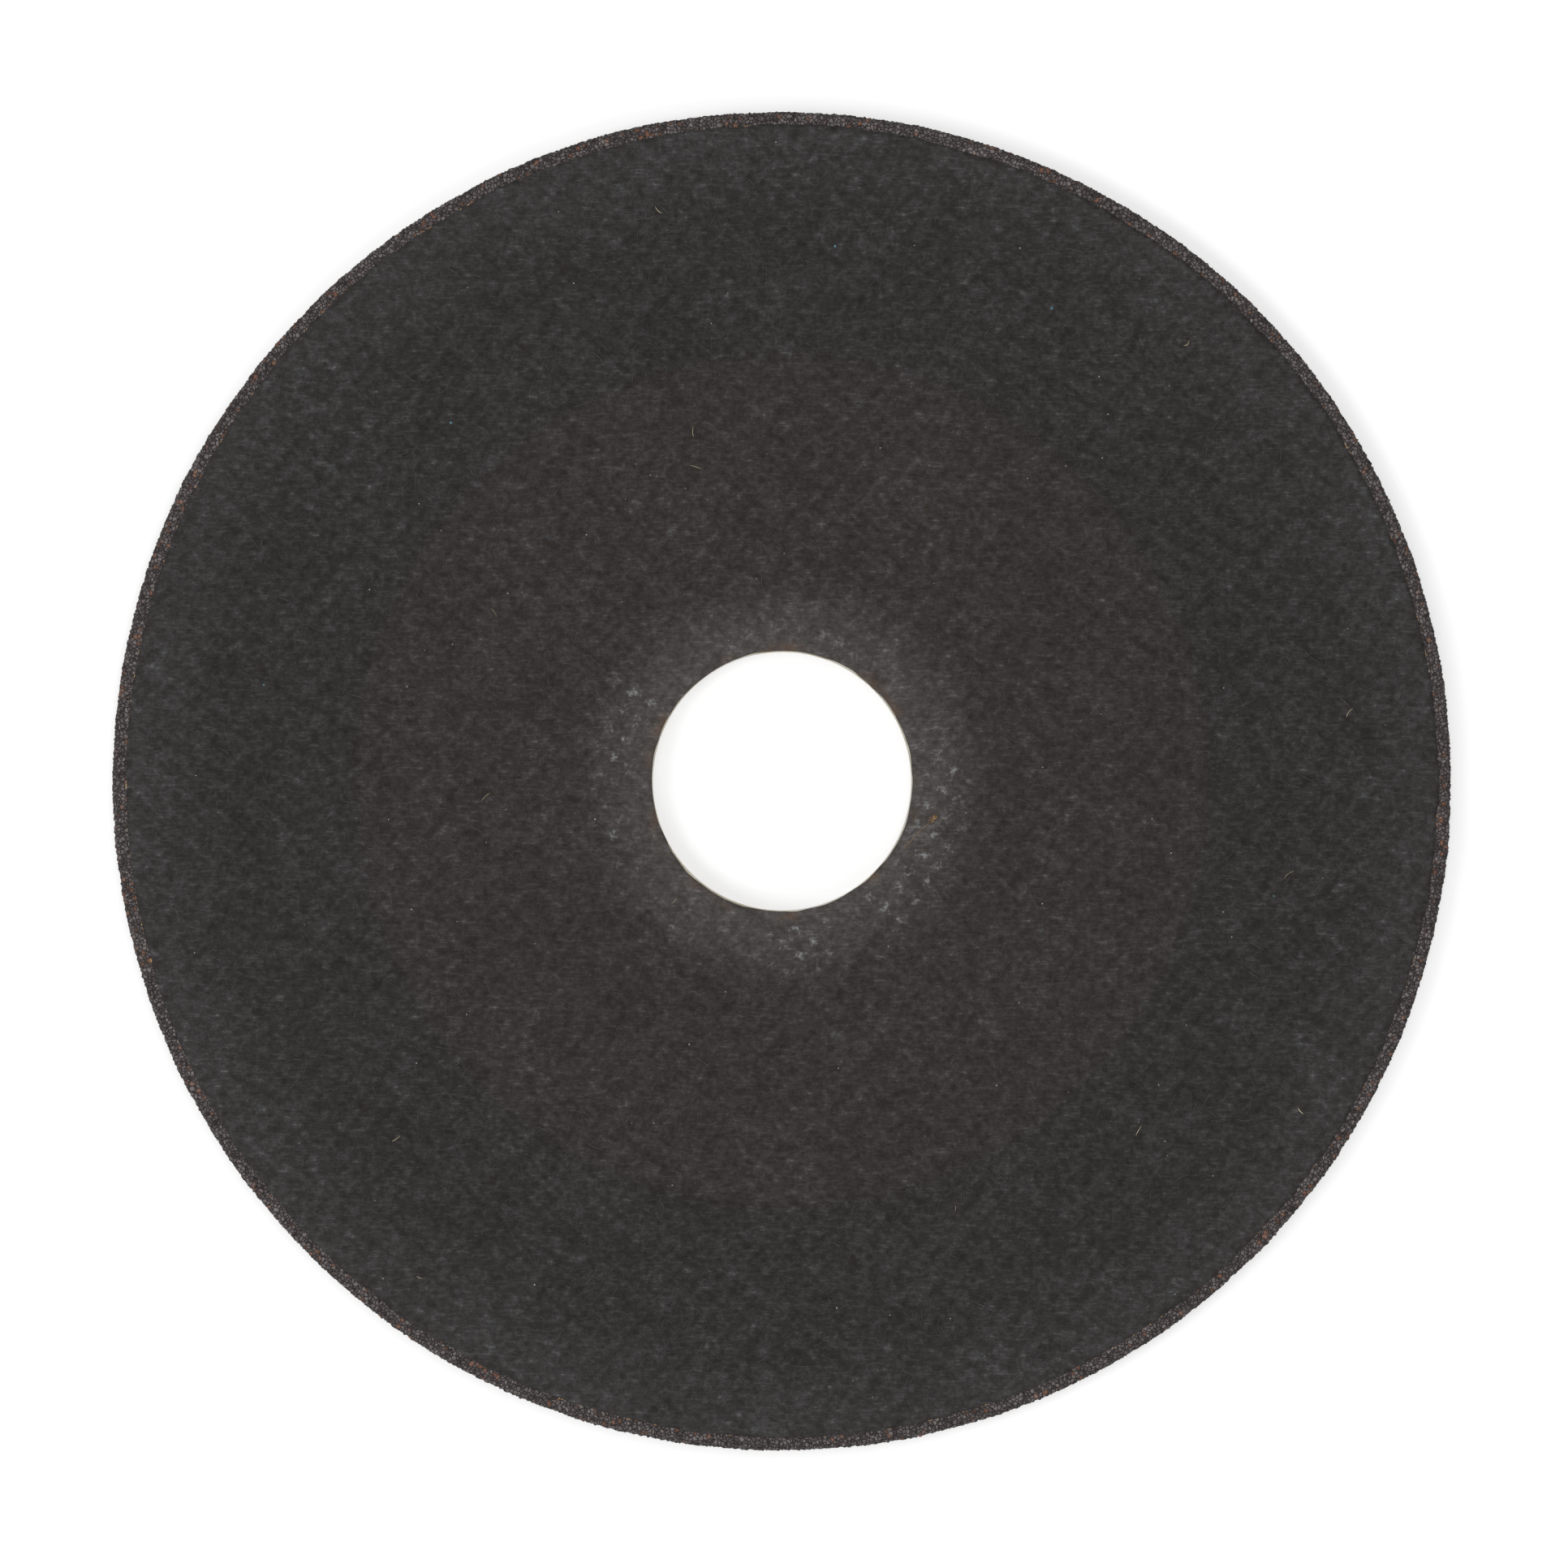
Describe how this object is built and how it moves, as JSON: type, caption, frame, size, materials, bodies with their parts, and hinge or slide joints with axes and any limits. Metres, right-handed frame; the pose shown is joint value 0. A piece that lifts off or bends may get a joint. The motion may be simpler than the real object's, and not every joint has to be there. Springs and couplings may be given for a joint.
{
  "type": "abrasive cutting and grinding wheel",
  "caption": "Flat round resin-bonded abrasive wheel, reinforced with glass mesh under a black felt cover, with a steel-ringed centre bore for an angle grinder.",
  "frame": {"origin": "centre of the bore, in the plane of the arbor ring's flange on which the wheel lies", "axes": "+Z along the wheel's axis, from the labelled front face to the plain black back face; +X and +Y in the plane of the wheel"},
  "size_m": [0.115, 0.115, 0.0019],
  "materials": {
    "ring_steel": "thin tinned sheet steel, faintly brushed",
    "label_paper": "matt blank paper",
    "black_felt": "resin-soaked black non-woven, matt with small glints",
    "glass_yarn": "glass yarn in amber phenolic resin",
    "resin_abrasive": "bonded brown-grey grain, rough"
  },
  "bodies": {
    "root": {"arbor_ring": "ring_steel", "label": "label_paper", "front_cover": "black_felt", "front_mesh_warp": "glass_yarn", "front_mesh_weft": "glass_yarn", "abrasive_body": "resin_abrasive", "back_mesh_weft": "glass_yarn", "back_mesh_warp": "glass_yarn", "back_cover": "black_felt"}
  },
  "joints": []
}
